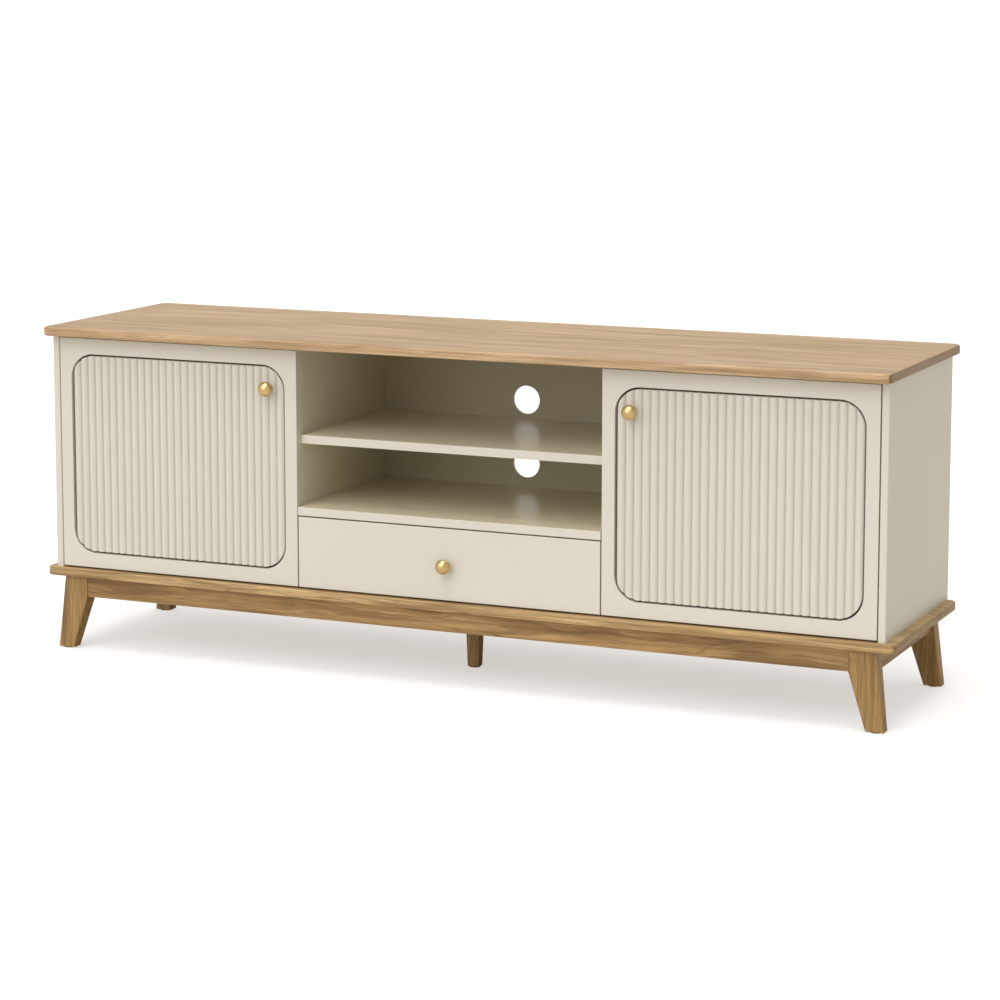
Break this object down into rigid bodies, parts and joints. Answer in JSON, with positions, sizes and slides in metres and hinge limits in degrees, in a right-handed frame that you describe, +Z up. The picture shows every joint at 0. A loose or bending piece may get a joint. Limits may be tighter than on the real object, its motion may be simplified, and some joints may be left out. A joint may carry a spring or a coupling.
{
  "type": "media cabinet",
  "caption": "Long low media cabinet with hinged doors of vertical reeding, an open middle bay with a shelf, a drawer below it, round knobs, and an oak top and splayed base.",
  "frame": {"origin": "centre of the whole cabinet in plan, at the level of the floor that its feet stand on", "axes": "+Z up; the doors and drawer face -Y; +X is to the right of someone facing the doors"},
  "size_m": [1.61, 0.439, 0.597],
  "materials": {
    "oak": "matt lacquered light oak veneer and timber",
    "bare_timber": "bare timber",
    "cream_paint": "satin cream paint on board",
    "painted_thin_board": "satin cream paint on thin board",
    "drawer_board": "cream laminated board",
    "brass": "brushed satin",
    "hardware_steel": "zinc plated",
    "slide_steel": "zinc plated sheet",
    "grey_plastic": "matt"
  },
  "bodies": {
    "root": {"apron_back": "oak", "apron_front": "oak", "apron_left": "oak", "apron_right": "oak", "back_panel_centre": "painted_thin_board", "back_panel_left": "painted_thin_board", "back_panel_right": "painted_thin_board", "base_board": "oak", "bay_shelf_left": "cream_paint", "bay_shelf_right": "cream_paint", "bottom_panel": "cream_paint", "centre_rail": "bare_timber", "corner_blocks": "bare_timber", "cubby_floor": "cream_paint", "cubby_shelf": "cream_paint", "divider_left": "cream_paint", "divider_right": "cream_paint", "door_catches": "grey_plastic", "door_left_hinge_pins": "hardware_steel", "door_right_hinge_pins": "hardware_steel", "foot_glides": "grey_plastic", "leg_back_left": "oak", "leg_back_right": "oak", "leg_centre": "oak", "leg_front_left": "oak", "leg_front_right": "oak", "shelf_pins": "hardware_steel", "side_panel_left": "cream_paint", "side_panel_right": "cream_paint", "slide_rail_left": "slide_steel", "slide_rail_right": "slide_steel", "top_board": "oak"},
    "door_left": {"door_left_backing": "painted_thin_board", "door_left_frame": "cream_paint", "door_left_hinge_bushes": "hardware_steel", "door_left_knob": "brass", "door_left_knob_screw": "hardware_steel", "door_left_reeded_panel": "cream_paint", "door_left_strike_plate": "hardware_steel"},
    "door_right": {"door_right_backing": "painted_thin_board", "door_right_frame": "cream_paint", "door_right_hinge_bushes": "hardware_steel", "door_right_knob": "brass", "door_right_knob_screw": "hardware_steel", "door_right_reeded_panel": "cream_paint", "door_right_strike_plate": "hardware_steel"},
    "drawer": {"drawer_back": "drawer_board", "drawer_bottom": "drawer_board", "drawer_front": "cream_paint", "drawer_knob": "brass", "drawer_knob_screw": "hardware_steel", "drawer_runner_left": "slide_steel", "drawer_runner_right": "slide_steel", "drawer_side_left": "drawer_board", "drawer_side_right": "drawer_board", "drawer_subfront": "drawer_board"},
    "slide_left": {"slide_middle_left": "slide_steel"},
    "slide_right": {"slide_middle_right": "slide_steel"}
  },
  "joints": [
    {"name": "door_left_hinge", "type": "hinge", "parent": "root", "child": "door_left", "pos_m": [-0.7639, -0.1865, 0.36585], "axis": [0, 0, -1], "range_deg": [0, 110]},
    {"name": "door_right_hinge", "type": "hinge", "parent": "root", "child": "door_right", "pos_m": [0.7639, -0.1865, 0.36585], "axis": [0, 0, 1], "range_deg": [0, 110]},
    {"name": "drawer_travel", "type": "slide", "parent": "root", "child": "drawer", "axis": [0, -1, 0], "range_m": [0, 0.28]},
    {"name": "slide_left_travel", "type": "slide", "parent": "root", "child": "slide_left", "axis": [0, -1, 0], "range_m": [0, 0.14]},
    {"name": "slide_right_travel", "type": "slide", "parent": "root", "child": "slide_right", "axis": [0, -1, 0], "range_m": [0, 0.14]}
  ],
  "couplings": [
    {"joint": "slide_left_travel", "follows": "drawer_travel", "ratio": 0.5},
    {"joint": "slide_right_travel", "follows": "drawer_travel", "ratio": 0.5}
  ]
}
